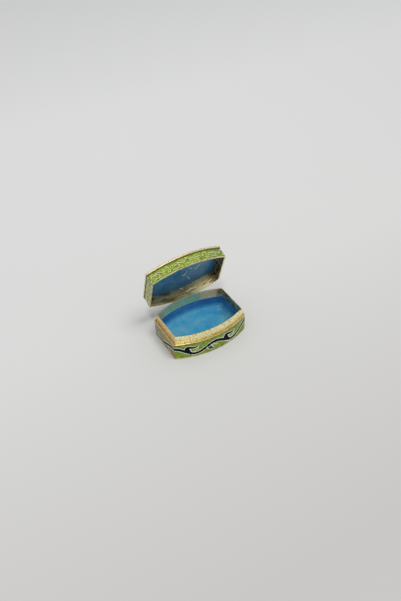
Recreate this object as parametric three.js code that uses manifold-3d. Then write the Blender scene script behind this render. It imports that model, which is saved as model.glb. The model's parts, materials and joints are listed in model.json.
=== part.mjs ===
// A cloisonne enamel trinket box with its hinged lid standing open. The base and lid are gilt copper. They
// are barrel-shaped in plan, with bowed long sides and straight ends, and carry enamel in shallow recesses.
// A brass collar stands inside the base's wall, and the lid closes over it onto a ledge.
// Millimetres, +Z up. The origin is the middle of the underside, +X runs along the box, the hinge is at +Y.
import * as THREE from "three";
import { mergeVertices } from "three/addons/utils/BufferGeometryUtils.js";
import Module from "manifold-3d";

const wasm = await Module();
wasm.setup();

// The outline that the base and the lid share, at their outer faces
const length = 45; // end face to end face
const endWidth = 22.8; // across a straight end, corner to corner
const bow = 5.4; // bulge of each long side beyond its corners
const cornerRadius = 0.7; // at the outer faces
const tightRadius = 0.3; // of corners inset so far that nothing is left of the outer radius
const bowSteps = 20; // flats along a long side
const cornerSteps = 3; // flats round a corner

// Fits
const bedding = 0.02; // between enamel, collar or hinge leaf and the metal it is fused or soldered to
const lidClearance = 0.2; // all round between the collar and the lid's inner wall
const seatGap = 0.15; // between the ledge and the closed lid's rim

// Base
const baseHeight = 10.9; // underside to ledge
const baseTaper = 0.2; // how much the wall leans in at its foot, each side
const sideEnamel = 0.45; // depth of the enamel on the base's wall
const baseWall = 0.7; // metal behind that enamel
const footRim = 0.6; // height of the gilt edge below the enamel
const footChamfer = 0.35;
const topRim = 0.5; // height of the gilt edge above the enamel
const rimEase = 0.12; // small flat that takes the sharpness off a gilt edge
const grooveWidth = 0.3; // groove in the ledge along the foot of the collar
const grooveDepth = 0.2;
const bottomEnamel = 0.35; // counter-enamel let into the underside
const bottomPlate = 0.65; // metal above it
const bottomBorder = 2.2; // gilt border round the underside's enamel

// Blue enamel inside the base
const linerWall = 0.4;
const linerFloor = 0.8;
const linerFillet = 3.5; // hollow curve from wall to floor
const linerCorner = 1.6; // enamel fills the upright corners to this radius
const linerFloorCorner = 4.8; // and they widen to this one down the hollow curve
const filletSteps = 6;

// Collar
const collarHeight = 4.4; // above the ledge
const collarSeat = 1.6; // below the ledge, inside the wall
const collarThickness = 0.6;
const collarEase = 0.12; // rounding of its upper edge

// Lid
const lidHeight = 7.9; // ledge to the lid's top
const lidSideEnamel = 0.4;
const lidRim = 0.5; // gilt edge round the mouth
const mouldingHeight = 1.4; // gilt moulding round the lid's top edge
const mouldingProud = 0.25;
const mouldingGroove = 0.3; // open groove between the wall's enamel and the moulding
const mouldingSteps = 6;
const topBorder = 1.5; // gilt border round the top's enamel
const topEnamel = 0.4; // its depth at the border
const topCrown = 0.7; // its rise to the middle
const crownRings = 6;
const crownRounding = 10; // the rings' corners get rounder by this towards the middle
const topPlate = 0.6; // metal under it
const ceilingEnamel = 0.35; // dark blue enamel under the lid
const openAngle = 70; // degrees from closed, as it stands

// Hinge, outside the back wall at the level of the ledge
const hingeStandoff = 1.35; // axis behind the back wall's furthest point
const hingeLength = 15;
const knuckles = 5; // the base has the odd ones
const knuckleRadius = 1.05;
const knuckleGap = 0.2; // between neighbouring knuckles
const pinRadius = 0.45;
const pinClearance = 0.08;
const pinOverhang = 0.3; // each end
const leafThickness = 0.5;
const leafHeight = 2.7; // from the axis to a leaf's far edge
const leafRelief = 0.3; // around the other leaf's knuckles
const leafNotch = leafRelief + knuckleRadius; // from the axis to a leaf between its own knuckles
const roundSteps = 20;

const halfLength = length / 2;
const halfWidth = endWidth / 2 + bow;
const bowRadius = (halfLength ** 2 + bow ** 2) / (2 * bow);
const bowCentre = bowRadius - halfWidth; // the front side's arc has its centre at this y
const collarInset = sideEnamel + baseWall + bedding; // the collar's outer face, at its foot
const lidInset = collarInset - lidClearance; // the lid's inner wall
const innerBottom = bottomEnamel + bottomPlate; // upper face of the base's metal bottom
const lidPlateInside = lidHeight - topEnamel - topPlate; // underside of the lid's metal top
const hingeY = halfWidth + hingeStandoff;
// The lid's front wall swings in over the collar by this much, so the collar leans in as far.
const swingRadius = hingeY + halfWidth - lidInset;
const collarLean = swingRadius - Math.sqrt(swingRadius ** 2 - collarHeight ** 2);

// The box's outline, moved inwards by inset and run anticlockwise. It has as many points at any inset.
function outline(inset, radius = Math.max(cornerRadius - inset, tightRadius)) {
  const cornerX = halfLength - inset - radius;
  const reach = Math.sqrt((bowRadius - inset - radius) ** 2 - cornerX ** 2);
  const cornerY = reach - bowCentre;
  const turn = Math.atan2(reach, cornerX); // where a long side's arc meets its corner
  const arc = (x, y, r, from, to, steps) => new THREE.EllipseCurve(x, y, r, r, from, to).getPoints(steps);
  const side = bowRadius - inset;
  return [
    ...arc(0, bowCentre, side, turn - Math.PI, -turn, bowSteps),
    ...arc(cornerX, -cornerY, radius, -turn, 0, cornerSteps).slice(1),
    ...arc(cornerX, cornerY, radius, 0, turn, cornerSteps),
    ...arc(0, -bowCentre, side, turn, Math.PI - turn, bowSteps).slice(1),
    ...arc(-cornerX, cornerY, radius, Math.PI - turn, Math.PI, cornerSteps).slice(1),
    ...arc(-cornerX, -cornerY, radius, Math.PI, Math.PI + turn, cornerSteps).slice(0, -1),
  ];
}

// A solid with its skin stretched over rows of points, each row one turn round the outline. The rows close on
// themselves to make a ring. Or they start under the middle and end above it, and both ends are filled in.
function skin(rows, closed, peak) {
  const around = rows[0].length;
  const positions = rows.flat(2);
  const index = [];
  const bands = closed ? rows.length : rows.length - 1;
  for (let band = 0; band < bands; band++) {
    const lower = band * around;
    const upper = ((band + 1) % rows.length) * around;
    for (let i = 0; i < around; i++) {
      const next = (i + 1) % around;
      index.push(lower + i, lower + next, upper + next, lower + i, upper + next, upper + i);
    }
  }
  if (!closed) {
    const last = (rows.length - 1) * around;
    const middleBelow = positions.length / 3;
    positions.push(0, 0, rows[0][0][2], 0, 0, peak);
    for (let i = 0; i < around; i++) {
      const next = (i + 1) % around;
      index.push(middleBelow, next, i, middleBelow + 1, last + i, last + next);
    }
  }
  const geometry = new THREE.BufferGeometry();
  geometry.setAttribute("position", new THREE.Float32BufferAttribute(positions, 3));
  geometry.setIndex(index);
  geometry.computeVertexNormals();
  return geometry;
}

// One row of skin: the outline moved in by inset and then shrunk towards the middle.
function row(inset, z, radius, scale = 1) {
  return outline(inset, radius).map((p) => [p.x * scale, p.y * scale, z]);
}

// A solid whose section is the profile, run round the outline. A profile point is [inset, z] or
// [inset, z, corner radius].
function sweep(profile, closed = false) {
  const rows = profile.map(([inset, z, radius]) => row(inset, z, radius));
  return skin(rows, closed, profile.at(-1)[1]);
}

const gilt = { color: 0xd9bd7c, roughness: 0.32, metalness: 1 };
const brass = { color: 0xe0c68c, roughness: 0.45, metalness: 1 };
const green = { color: 0x6f9a2e, roughness: 0.2, metalness: 0 };
const lime = { color: 0x8db43a, roughness: 0.2, metalness: 0 };
const blue = { color: 0x2f7fb4, roughness: 0.12, metalness: 0 };
const darkBlue = { color: 0x27486e, roughness: 0.15, metalness: 0 };

function piece(name, geometry, finish) {
  const mesh = new THREE.Mesh(geometry, new THREE.MeshStandardMaterial(finish));
  mesh.name = name;
  return mesh;
}

// How far the base's wall has leaned in at a height.
function lean(z) {
  return baseTaper * (1 - z / baseHeight);
}

// Gilt tray: underside with a recess for enamel, foot edge, wall with another recess, ledge, plain inside.
function baseBody() {
  const enamelFoot = footRim;
  const enamelTop = baseHeight - topRim;
  const grooveZ = baseHeight - grooveDepth;
  const wallInside = sideEnamel + baseWall;
  return sweep([
    [bottomBorder, bottomEnamel],
    [bottomBorder, 0],
    [lean(0) + footChamfer, 0],
    [lean(footChamfer), footChamfer],
    [lean(enamelFoot), enamelFoot],
    [lean(enamelFoot) + sideEnamel, enamelFoot],
    [lean(enamelTop) + sideEnamel, enamelTop],
    [lean(enamelTop), enamelTop],
    [0, baseHeight - rimEase],
    [rimEase, baseHeight],
    [wallInside - grooveWidth - grooveDepth, baseHeight],
    [wallInside - grooveWidth, grooveZ],
    [wallInside, grooveZ],
    [wallInside, innerBottom],
  ]);
}

// Green enamel in the base's wall, level with the gilt edges above and below it.
function baseWallEnamel() {
  const foot = footRim + bedding;
  const top = baseHeight - topRim - bedding;
  return sweep(
    [
      [lean(foot), foot],
      [lean(top), top],
      [lean(top) + sideEnamel - bedding, top],
      [lean(foot) + sideEnamel - bedding, foot],
    ],
    true,
  );
}

// Blue enamel over the bottom and up the wall to the collar's lower edge, with a hollow curve between them.
function baseInnerEnamel() {
  const outside = sideEnamel + baseWall + bedding;
  const inside = outside + linerWall;
  const top = baseHeight - collarSeat - bedding;
  const floor = innerBottom + linerFloor;
  const fillet = new THREE.EllipseCurve(
    inside + linerFillet,
    floor + linerFillet,
    linerFillet,
    linerFillet,
    Math.PI,
    1.5 * Math.PI,
  ).getPoints(filletSteps);
  const widening = (linerFloorCorner - linerCorner) / filletSteps;
  return sweep([
    [outside, innerBottom + bedding],
    [outside, top],
    [inside, top, linerCorner],
    ...fillet.map((p, step) => [p.x, p.y, linerCorner + widening * step]),
  ]);
}

// Counter-enamel let into the underside, level with its gilt border.
function baseUndersideEnamel() {
  const edge = bottomBorder + bedding;
  return sweep([
    [edge, 0],
    [edge, bottomEnamel - bedding],
  ]);
}

// Brass strip bent to the outline, standing inside the wall. Above the ledge it leans in a little.
function collar() {
  const top = baseHeight + collarHeight;
  const foot = baseHeight - collarSeat;
  const topInset = collarInset + collarLean;
  return sweep(
    [
      [collarInset, foot],
      [collarInset, baseHeight],
      [topInset, top - collarEase],
      [topInset + collarEase, top],
      [topInset + collarThickness - collarEase, top],
      [topInset + collarThickness, top - collarEase],
      [collarInset + collarThickness, baseHeight],
      [collarInset + collarThickness, foot],
    ],
    true,
  );
}

// Gilt lid, mouth down: rim, wall with a recess for enamel, rounded moulding, border and recess on top.
function lidBody() {
  const enamelTop = lidHeight - mouldingHeight;
  const moulding = [];
  for (let step = 0; step <= mouldingSteps; step++) {
    const angle = (Math.PI / 2) * (step / mouldingSteps);
    moulding.push([
      mouldingHeight / 2 - (mouldingHeight / 2 + mouldingProud) * Math.cos(angle),
      enamelTop + mouldingHeight / 2 + (mouldingHeight / 2) * Math.sin(angle),
    ]);
  }
  return sweep([
    [lidInset, lidPlateInside],
    [lidInset, seatGap],
    [rimEase, seatGap],
    [0, seatGap + rimEase],
    [0, lidRim],
    [lidSideEnamel, lidRim],
    [lidSideEnamel, enamelTop],
    [-mouldingProud / 2, enamelTop],
    ...moulding,
    [topBorder, lidHeight],
    [topBorder, lidHeight - topEnamel],
  ]);
}

// Green enamel in the lid's wall.
function lidWallEnamel() {
  const foot = lidRim + bedding;
  const top = lidHeight - mouldingHeight - mouldingGroove;
  return sweep(
    [
      [0, foot],
      [0, top],
      [lidSideEnamel - bedding, top],
      [lidSideEnamel - bedding, foot],
    ],
    true,
  );
}

// Enamel panel of the lid's top, gently crowned towards the middle.
function lidTopEnamel() {
  const edge = topBorder + bedding;
  const rows = [row(edge, lidHeight - topEnamel + bedding)];
  for (let ring = crownRings; ring > 0; ring--) {
    const scale = ring / crownRings;
    const z = lidHeight + topCrown * (1 - scale ** 2);
    rows.push(row(edge, z, tightRadius + crownRounding * (1 - scale), scale));
  }
  return skin(rows, false, lidHeight + topCrown);
}

// Dark blue enamel under the lid's top.
function lidCeilingEnamel() {
  const edge = lidInset + bedding;
  return sweep([
    [edge, lidPlateInside - ceilingEnamel],
    [edge, lidPlateInside - bedding],
  ]);
}

// A geometry as a solid that manifold-3d can join and cut.
function solid(geometry) {
  const bare = geometry.index ? geometry.toNonIndexed() : geometry;
  bare.deleteAttribute("normal");
  bare.deleteAttribute("uv");
  const merged = mergeVertices(bare, 1e-5);
  const mesh = new wasm.Mesh({
    numProp: 3,
    vertProperties: merged.attributes.position.array,
    triVerts: new Uint32Array(merged.index.array),
  });
  return new wasm.Manifold(mesh);
}

function geometryOf(made) {
  const mesh = made.getMesh();
  const geometry = new THREE.BufferGeometry();
  geometry.setAttribute("position", new THREE.BufferAttribute(new Float32Array(mesh.vertProperties), 3));
  geometry.setIndex(new THREE.BufferAttribute(new Uint32Array(mesh.triVerts), 1));
  return geometry;
}

// A round bar along X on the hinge axis, which is the origin of the hinge's own frame.
function bar(radius, from, to) {
  const geometry = new THREE.CylinderGeometry(radius, radius, to - from, roundSteps);
  geometry.rotateZ(Math.PI / 2);
  geometry.translate((from + to) / 2, 0, 0);
  return solid(geometry);
}

// The back wall's outer face in the hinge's frame, with the bedding of the leaf that is soldered to it.
function wallAt(x) {
  return Math.sqrt(bowRadius ** 2 - x ** 2) - bowRadius - hingeStandoff + bedding;
}

// A leaf's plate, curved to lie on the back wall, up from the axis or down from it.
function leafPlate(sign) {
  const steps = 2 * knuckles;
  const outside = [];
  const inside = [];
  for (let step = 0; step <= steps; step++) {
    const x = hingeLength * (step / steps - 0.5);
    inside.push(new THREE.Vector2(x, wallAt(x)));
    outside.unshift(new THREE.Vector2(x, wallAt(x) + leafThickness));
  }
  const plan = new THREE.Shape([...inside, ...outside]);
  const plate = new THREE.ExtrudeGeometry(plan, { depth: leafHeight, bevelEnabled: false });
  plate.translate(0, 0, sign > 0 ? 0 : -leafHeight);
  return solid(plate);
}

// One rolled knuckle about a middle x, with the metal that runs tangentially from it into the leaf.
function knuckle(sign, middle, width) {
  const from = middle - width / 2;
  const to = middle + width / 2;
  const middleOfFlat = knuckleRadius * Math.cos(Math.PI / roundSteps);
  const inLeaf = Math.max(wallAt(from), wallAt(to));
  const web = new THREE.Shape([
    new THREE.Vector2(inLeaf, 0),
    new THREE.Vector2(inLeaf, sign * leafNotch),
    new THREE.Vector2(0, sign * middleOfFlat),
    new THREE.Vector2(0, 0),
  ]);
  const block = new THREE.ExtrudeGeometry(web, { depth: width, bevelEnabled: false });
  const alongX = new THREE.Matrix4().makeBasis(
    new THREE.Vector3(0, 1, 0),
    new THREE.Vector3(0, 0, 1),
    new THREE.Vector3(1, 0, 0),
  );
  block.applyMatrix4(alongX);
  block.translate(from, 0, 0);
  return solid(block).add(bar(knuckleRadius, from, to));
}

// One leaf of the hinge with its knuckles, in the hinge's own frame. The base's leaf hangs down from the axis
// and has the odd knuckles. The lid's leaf stands up from it and has the even ones.
function hingeLeaf(hasOdd, sign) {
  const pitch = hingeLength / knuckles;
  const behindPlate = leafThickness - wallAt(hingeLength / 2); // past the plate's back at its far ends
  let leaf = leafPlate(sign);
  for (let k = 0; k < knuckles; k++) {
    const middle = pitch * (k + 0.5) - hingeLength / 2;
    if ((k % 2 === 0) === hasOdd) {
      leaf = leaf.add(knuckle(sign, middle, pitch - knuckleGap));
    } else {
      const room = new THREE.BoxGeometry(pitch + knuckleGap, 2 * behindPlate, 2 * leafNotch);
      room.translate(middle, 0, 0);
      leaf = leaf.subtract(solid(room));
    }
  }
  return geometryOf(leaf.subtract(bar(pinRadius + pinClearance, -hingeLength, hingeLength)));
}

function hingePin() {
  const reach = hingeLength / 2 + pinOverhang;
  return geometryOf(bar(pinRadius, -reach, reach));
}

const box = new THREE.Group();
box.add(
  piece("base_body", baseBody(), gilt),
  piece("base_wall_enamel", baseWallEnamel(), green),
  piece("base_inner_enamel", baseInnerEnamel(), blue),
  piece("base_underside_enamel", baseUndersideEnamel(), blue),
  piece("base_collar", collar(), brass),
);

const hinge = new THREE.Group();
hinge.position.set(0, hingeY, baseHeight);
hinge.add(
  piece("hinge_base_leaf", hingeLeaf(true, -1), brass),
  piece("hinge_pin", hingePin(), brass),
);
box.add(hinge);

// Everything that turns with the lid, swung open about the hinge axis.
const lid = new THREE.Group();
lid.rotation.x = -THREE.MathUtils.degToRad(openAngle);
const onLid = new THREE.Group(); // the closed lid, standing on the ledge
onLid.position.set(0, -hingeY, 0);
onLid.add(
  piece("lid_body", lidBody(), gilt),
  piece("lid_wall_enamel", lidWallEnamel(), lime),
  piece("lid_top_enamel", lidTopEnamel(), green),
  piece("lid_ceiling_enamel", lidCeilingEnamel(), darkBlue),
);
lid.add(onLid, piece("hinge_lid_leaf", hingeLeaf(false, 1), brass));
hinge.add(lid);

export default box;
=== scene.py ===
import json
import math

import bmesh
import bpy
import numpy as np
from mathutils import Matrix, Vector, noise
from mathutils.kdtree import KDTree


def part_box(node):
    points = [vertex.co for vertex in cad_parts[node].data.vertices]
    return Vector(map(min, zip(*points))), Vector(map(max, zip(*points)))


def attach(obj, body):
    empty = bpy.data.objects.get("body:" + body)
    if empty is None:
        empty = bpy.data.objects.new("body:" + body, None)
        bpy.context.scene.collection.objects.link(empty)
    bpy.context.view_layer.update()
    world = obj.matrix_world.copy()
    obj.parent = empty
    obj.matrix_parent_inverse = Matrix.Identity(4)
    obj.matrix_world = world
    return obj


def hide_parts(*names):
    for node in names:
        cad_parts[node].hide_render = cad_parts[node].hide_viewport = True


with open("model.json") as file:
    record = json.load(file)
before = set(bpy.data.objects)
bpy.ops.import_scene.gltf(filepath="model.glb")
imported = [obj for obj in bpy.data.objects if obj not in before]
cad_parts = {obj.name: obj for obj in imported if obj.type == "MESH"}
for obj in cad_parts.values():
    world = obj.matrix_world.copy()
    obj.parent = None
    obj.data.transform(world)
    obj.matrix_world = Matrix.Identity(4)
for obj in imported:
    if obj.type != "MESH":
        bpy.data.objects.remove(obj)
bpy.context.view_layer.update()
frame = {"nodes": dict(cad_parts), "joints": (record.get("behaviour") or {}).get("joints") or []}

MM = 0.001
WELD = 1e-7  # points nearer than this are joined, in metres

# The outline that the base and the lid share
tray_low, tray_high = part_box("base_body")
LENGTH = (tray_high.x - tray_low.x) / MM
WIDTH = (tray_high.y - tray_low.y) / MM
BOW = 5.4
CORNER_RADIUS = 0.7
TIGHT_RADIUS = 0.3
BOW_STEPS = 96
CORNER_STEPS = 8
BEDDING = 0.02

# Base
BASE_HEIGHT = tray_high.z / MM
BASE_TAPER = 0.2
SIDE_ENAMEL = 0.45
BASE_WALL = 0.7
FOOT_RIM = 0.6
FOOT_CHAMFER = 0.35
TOP_RIM = 0.5
GROOVE_WIDTH = 0.3
GROOVE_DEPTH = 0.2
BOTTOM_ENAMEL = 0.35
BOTTOM_PLATE = 0.65
BOTTOM_BORDER = 2.2
LINER_WALL = 0.4
LINER_FLOOR = 0.8
LINER_FILLET = 3.5
LINER_CORNER = 1.6
LINER_FLOOR_CORNER = 4.8  # its corners widen to this down the fillet
FILLET_STEPS = 14

# Collar
COLLAR_HEIGHT = 4.4
COLLAR_SEAT = 1.6
COLLAR_THICKNESS = 0.6
COLLAR_LEAN = 0.29
COLLAR_ROUNDING = 0.18
COLLAR_GRID = 0.3  # spacing of its points, fine enough for the hammer marks
HAMMER_DEPTH = 0.05
HAMMER_SIZE = 1.1
HAMMER_FINE_SIZE = 0.4  # smaller marks between the others
HAMMER_FINE_SHARE = 0.4

# Lid
LID_HEIGHT = 7.9
SEAT_GAP = 0.15
LID_CLEARANCE = 0.2
LID_SIDE_ENAMEL = 0.4
LID_RIM = 0.5
MOULDING_HEIGHT = 1.4
MOULDING_PROUD = 0.25
MOULDING_STEPS = 12
MOULDING_GROOVE = 0.3  # open groove between the wall's enamel and the moulding
TOP_BORDER = 1.5
TOP_ENAMEL = 0.4
TOP_CROWN = 0.7
TOP_PLATE = 0.6
CEILING_ENAMEL = 0.35
RIM_ROUNDING = 0.12

# Inlay
BASE_WIRE = 0.4
LID_WIRE = 0.42
WIRE_SHADE_LINE = 0.2  # painted shade: a dark line in the enamel along each side of a wire on the lid
BASE_RIM_LINE = 0.34  # painted shade: a dark line round the base, at the top of the enamel, under the ledge
BASE_RIM_DROP = 0.2  # from the enamel's upper edge to the middle of that line
LID_RIM_LINE = 0.45  # painted shade, the same round the lid, beside the moulding
LID_RIM_DROP = 0.25
WIRE_CROWN = 0.15  # how much lower a wire's edges lie than its middle
WIRE_PROUD = 0.08  # top of a wire over the enamel beside it
WIRE_ROOT = 0.25  # how deep its foot is bedded
INLAY_CROWN = 0.004
INLAY_ROOT = 0.2
SHADE_LINE_PROUD = 0.012  # how far each line of painted shade stands over the field, so that the stem covers the others
LEAF_PROUD = 0.016
STEM_PROUD = 0.02
HOLLOW = 0.12  # how far the enamel sinks in the middle of a cell
HOLLOW_REACH = 0.8  # distance from a wire at which it has sunk that far

HALF_LENGTH = LENGTH / 2
HALF_WIDTH = WIDTH / 2
BOW_RADIUS = (HALF_LENGTH**2 + BOW**2) / (2 * BOW)
BOW_CENTRE = BOW_RADIUS - HALF_WIDTH
COLLAR_INSET = SIDE_ENAMEL + BASE_WALL + BEDDING
LID_INSET = COLLAR_INSET - LID_CLEARANCE
hinge_joint = frame["joints"][0]
HINGE_AXIS = Vector(hinge_joint["pos_m"])
OPEN_ANGLE = math.radians(-hinge_joint["range_deg"][0])

# From the closed lid, whose ledge is at height 0, to the lid as it stands open
OPEN_LID = (
    Matrix.Translation(HINGE_AXIS)
    @ Matrix.Rotation(-OPEN_ANGLE, 4, "X")
    @ Matrix.Translation((0, -HINGE_AXIS.y, 0))
)


# Meshes


def arc(x, y, radius, start, end, steps):
    """Points on an arc, both ends included."""
    turns = np.linspace(start, end, steps + 1)
    return np.stack([x + radius * np.cos(turns), y + radius * np.sin(turns)], axis=1)


def outline(inset, radius=None, bow_steps=BOW_STEPS, corner_steps=CORNER_STEPS):
    """The box's outline moved inwards by inset, anticlockwise from the left end of the front."""
    if radius is None:
        radius = max(CORNER_RADIUS - inset, TIGHT_RADIUS)
    corner_x = HALF_LENGTH - inset - radius
    reach = math.sqrt((BOW_RADIUS - inset - radius) ** 2 - corner_x**2)
    corner_y = reach - BOW_CENTRE
    turn = math.atan2(reach, corner_x)
    side = BOW_RADIUS - inset
    half_turn = math.pi
    return np.concatenate(
        [
            arc(0, BOW_CENTRE, side, turn - half_turn, -turn, bow_steps),
            arc(corner_x, -corner_y, radius, -turn, 0, corner_steps)[1:],
            arc(corner_x, corner_y, radius, 0, turn, corner_steps),
            arc(0, -BOW_CENTRE, side, turn, half_turn - turn, bow_steps)[1:],
            arc(-corner_x, corner_y, radius, half_turn - turn, half_turn, corner_steps)[1:],
            arc(-corner_x, -corner_y, radius, half_turn, half_turn + turn, corner_steps)[:-1],
        ]
    )


def row(inset, z, radius=None):
    """The outline at a height, as points."""
    flat = outline(inset, radius)
    return np.column_stack([flat, np.full(len(flat), z)])


def rounded(profile, radius, steps=4):
    """A profile with its inner corners eased, each over at most radius or half of the shorter side."""
    points = [profile[0]]
    for before, corner, after in zip(profile, profile[1:], profile[2:]):
        here = np.array(corner[:2], float)
        back = np.array(before[:2], float) - here
        on = np.array(after[:2], float) - here
        reach = min(radius, np.linalg.norm(back) / 2, np.linalg.norm(on) / 2)
        start = here + back / np.linalg.norm(back) * reach
        end = here + on / np.linalg.norm(on) * reach
        for t in np.linspace(0, 1, steps + 1):
            p = (1 - t) ** 2 * start + 2 * t * (1 - t) * here + t**2 * end
            points.append((*p, *corner[2:]))
    points.append(profile[-1])
    return points


def make_object(name, points, faces, smooth_angle=35):
    """A mesh object from points in millimetres, with its faces turned outwards."""
    mesh = bpy.data.meshes.new(name)
    mesh.from_pydata((np.asarray(points, float) * MM).tolist(), [], faces)
    work = bmesh.new()
    work.from_mesh(mesh)
    bmesh.ops.remove_doubles(work, verts=work.verts, dist=WELD)
    bmesh.ops.recalc_face_normals(work, faces=work.faces)
    work.to_mesh(mesh)
    work.free()
    mesh.shade_smooth()
    mesh.set_sharp_from_angle(angle=math.radians(smooth_angle))
    made = bpy.data.objects.new(name, mesh)
    bpy.context.scene.collection.objects.link(made)
    return made


def skin(name, rows, closed=False, peak=None, smooth_angle=35):
    """A solid with its skin stretched over rows of points. An open stack is filled in at both ends."""
    count = len(rows[0])
    points = np.concatenate(rows)
    faces = []
    bands = len(rows) if closed else len(rows) - 1
    for band in range(bands):
        lower = band * count
        upper = ((band + 1) % len(rows)) * count
        for i in range(count):
            after = (i + 1) % count
            faces.append((lower + i, lower + after, upper + after, upper + i))
    if not closed:
        last = (len(rows) - 1) * count
        below = len(points)
        middle_top = rows[-1][0][2] if peak is None else peak
        points = np.concatenate([points, [[0, 0, rows[0][0][2]], [0, 0, middle_top]]])
        for i in range(count):
            after = (i + 1) % count
            faces.append((below, after, i))
            faces.append((below + 1, last + i, last + after))
    return make_object(name, points, faces, smooth_angle)


def sweep(name, profile, closed=False):
    """A solid whose section is the profile, run round the outline. A profile point is (inset, z) or
    (inset, z, corner radius)."""
    return skin(name, [row(*point) for point in profile], closed)


def dress(piece, body, slot, finish, *nodes, also=()):
    """Gives a piece its material and puts it on its body, in place of CAD nodes. Each other material in also
    goes on the faces that its test picks by their middle, in millimetres, and normal."""
    piece.data.materials.append(finish)
    for index, (other, picks) in enumerate(also, 1):
        piece.data.materials.append(other)
        for face in piece.data.polygons:
            if picks(face.center / MM, face.normal):
                face.material_index = index
    if body == "lid":
        piece.data.transform(OPEN_LID)
    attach(piece, body)
    if nodes:
        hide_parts(*nodes)


def refinish(name, finish):
    """Gives a CAD node that stays as it is a better material."""
    node = frame["nodes"][name]
    node.data.materials.clear()
    node.data.materials.append(finish)


def faces_inwards(middle, normal):
    """Whether a face of a wall is turned towards the hollow inside it."""
    return middle.xy.dot(normal.xy) < -1


# Materials


def new_material(name):
    """A material with its nodes and links."""
    made = bpy.data.materials.new(name)
    made.use_nodes = True
    return made, made.node_tree.nodes, made.node_tree.links


def noise_at(nodes, links, size, detail=3.0, roughness=0.5, distortion=0.0, stretch=1.0):
    """Noise over the object. Its features are about size millimetres across, and stretch times that on X."""
    place = nodes.new("ShaderNodeTexCoord")
    drawn = nodes.new("ShaderNodeMapping")
    drawn.inputs["Scale"].default_value = (1 / stretch, 1, 1)
    links.new(place.outputs["Object"], drawn.inputs["Vector"])
    texture = nodes.new("ShaderNodeTexNoise")
    texture.inputs["Scale"].default_value = 1 / (size * MM)
    texture.inputs["Detail"].default_value = detail
    texture.inputs["Roughness"].default_value = roughness
    texture.inputs["Distortion"].default_value = distortion
    links.new(drawn.outputs["Vector"], texture.inputs["Vector"])
    return texture.outputs["Fac"]


def along(nodes, links, axis, start, end):
    """A number that goes from 0 to 1 over the object, from start to end in millimetres on an axis."""
    place = nodes.new("ShaderNodeTexCoord")
    split = nodes.new("ShaderNodeSeparateXYZ")
    links.new(place.outputs["Object"], split.inputs["Vector"])
    return greys(nodes, links, split.outputs[axis], 0, 1, start * MM, end * MM)


def ramp(nodes, links, value, stops):
    """Colours or greys by value, from stops of (position, colour)."""
    made = nodes.new("ShaderNodeValToRGB")
    elements = made.color_ramp.elements
    while len(elements) < len(stops):
        elements.new(0.5)
    for element, (position, colour) in zip(elements, stops):
        element.position = position
        element.color = (*colour, 1)
    links.new(value, made.inputs["Fac"])
    return made.outputs["Color"]


def greys(nodes, links, value, low, high, start=0.3, end=0.7):
    """A number that goes from low to high as value goes from start to end."""
    made = nodes.new("ShaderNodeMapRange")
    made.inputs["From Min"].default_value = start
    made.inputs["From Max"].default_value = end
    made.inputs["To Min"].default_value = low
    made.inputs["To Max"].default_value = high
    links.new(value, made.inputs["Value"])
    return made.outputs["Result"]


def bump(nodes, links, shader, value, height):
    """Relief from value, height millimetres deep."""
    made = nodes.new("ShaderNodeBump")
    made.inputs["Distance"].default_value = height * MM
    links.new(value, made.inputs["Height"])
    links.new(made.outputs["Normal"], shader.inputs["Normal"])


def mix(nodes, links, share, first, second):
    """A colour that goes from first to second as share goes from 0 to 1."""
    made = nodes.new("ShaderNodeMix")
    made.data_type = "RGBA"
    colours = [socket for socket in made.inputs if socket.type == "RGBA"]
    links.new(share, made.inputs[0])
    links.new(first, colours[0])
    links.new(second, colours[1])
    return next(socket for socket in made.outputs if socket.type == "RGBA")


def metal(
    name,
    bright,
    dull,
    size,
    smooth,
    rough,
    relief,
    relief_size,
    tarnish=None,
    specks=0.0,
    stretch=1.0,
    metallic=1.0,
    film_by_place=None,
):
    """Gilt metal: bright where it is rubbed, and dull between, in clouds of a size. Where it is dull it has
    specks of tarnish, in a share from 0 to 1. Its roughness goes from smooth to rough, and stretch draws the
    marks out along X. Film_by_place gives a dull film over the metal by stops of (place, share, colour), with
    the place from 0 at the box's left end to 1 at its right end; in some finishes the film is painted shade
    and painted reflection."""
    film_metallic = 0.15
    made, nodes, links = new_material(name)
    shader = nodes["Principled BSDF"]
    shader.inputs["Metallic"].default_value = metallic
    cloud = noise_at(nodes, links, size, detail=5, roughness=0.6, stretch=stretch)
    colour = ramp(nodes, links, cloud, [(0.36, dull), (0.6, bright)])
    if specks:
        fine = noise_at(nodes, links, size / 3, detail=3, roughness=0.6)
        edge = 0.3 + 0.3 * specks
        stops = [(edge - 0.05, tarnish), (edge + 0.05, dull), (edge + 0.15, bright)]
        dullness = greys(nodes, links, cloud, 1, 0.2, start=0.4, end=0.65)
        colour = mix(nodes, links, dullness, colour, ramp(nodes, links, fine, stops))
    if film_by_place:
        place = along(nodes, links, "X", -HALF_LENGTH, HALF_LENGTH)
        film = ramp(nodes, links, place, [(spot, tint) for spot, _, tint in film_by_place])
        share = ramp(nodes, links, place, [(spot, (thick,) * 3) for spot, thick, _ in film_by_place])
        patches = greys(nodes, links, cloud, 1.3, 0.6, start=0.35, end=0.65)
        patchy = nodes.new("ShaderNodeMath")
        patchy.operation = "MULTIPLY"
        links.new(share, patchy.inputs[0])
        links.new(patches, patchy.inputs[1])
        cover = greys(nodes, links, patchy.outputs["Value"], 0, 1, start=0, end=1)
        colour = mix(nodes, links, cover, colour, film)
        metal_left = greys(nodes, links, cover, metallic, film_metallic, start=0, end=1)
        links.new(metal_left, shader.inputs["Metallic"])
    links.new(colour, shader.inputs["Base Color"])
    grain = noise_at(nodes, links, size / 3, detail=4)
    links.new(greys(nodes, links, grain, smooth, rough), shader.inputs["Roughness"])
    glint_paths = noise_at(nodes, links, relief_size, detail=4, roughness=0.6, stretch=stretch)
    bump(nodes, links, shader, glint_paths, relief)
    return made


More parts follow.
